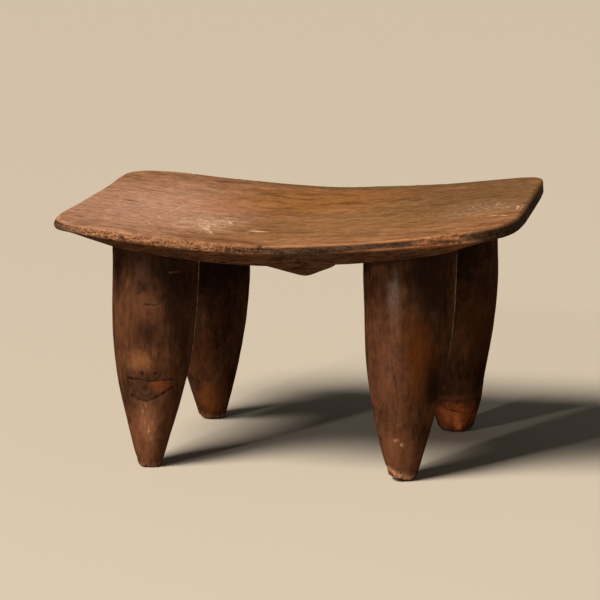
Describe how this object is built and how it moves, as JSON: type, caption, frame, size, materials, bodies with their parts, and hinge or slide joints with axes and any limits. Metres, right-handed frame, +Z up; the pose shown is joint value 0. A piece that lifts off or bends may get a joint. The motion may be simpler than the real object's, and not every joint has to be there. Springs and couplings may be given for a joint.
{
  "type": "headrest stool",
  "caption": "Carved wooden headrest stool with a dished, round-cornered top, a bevelled underside with a blunt cross keel, and stout legs tapering to small flat feet.",
  "frame": {"origin": "centre of the footprint, on the floor under the feet", "axes": "+X along the seat towards its higher end, +Y towards the back long edge, +Z up from the floor"},
  "size_m": [0.4685, 0.3023, 0.2648],
  "materials": {
    "seat_wood": "hand-carved, worn to a low sheen, lengthwise grain, chipped and rubbed along the edge",
    "leg_wood": "hand-carved, dark oiled patina with a soft gloss, knots and fine drying cracks"
  },
  "bodies": {
    "root": {"seat": "seat_wood", "underside_keel": "leg_wood", "leg_front_left": "leg_wood", "leg_front_right": "leg_wood", "leg_back_left": "leg_wood", "leg_back_right": "leg_wood"}
  },
  "joints": []
}
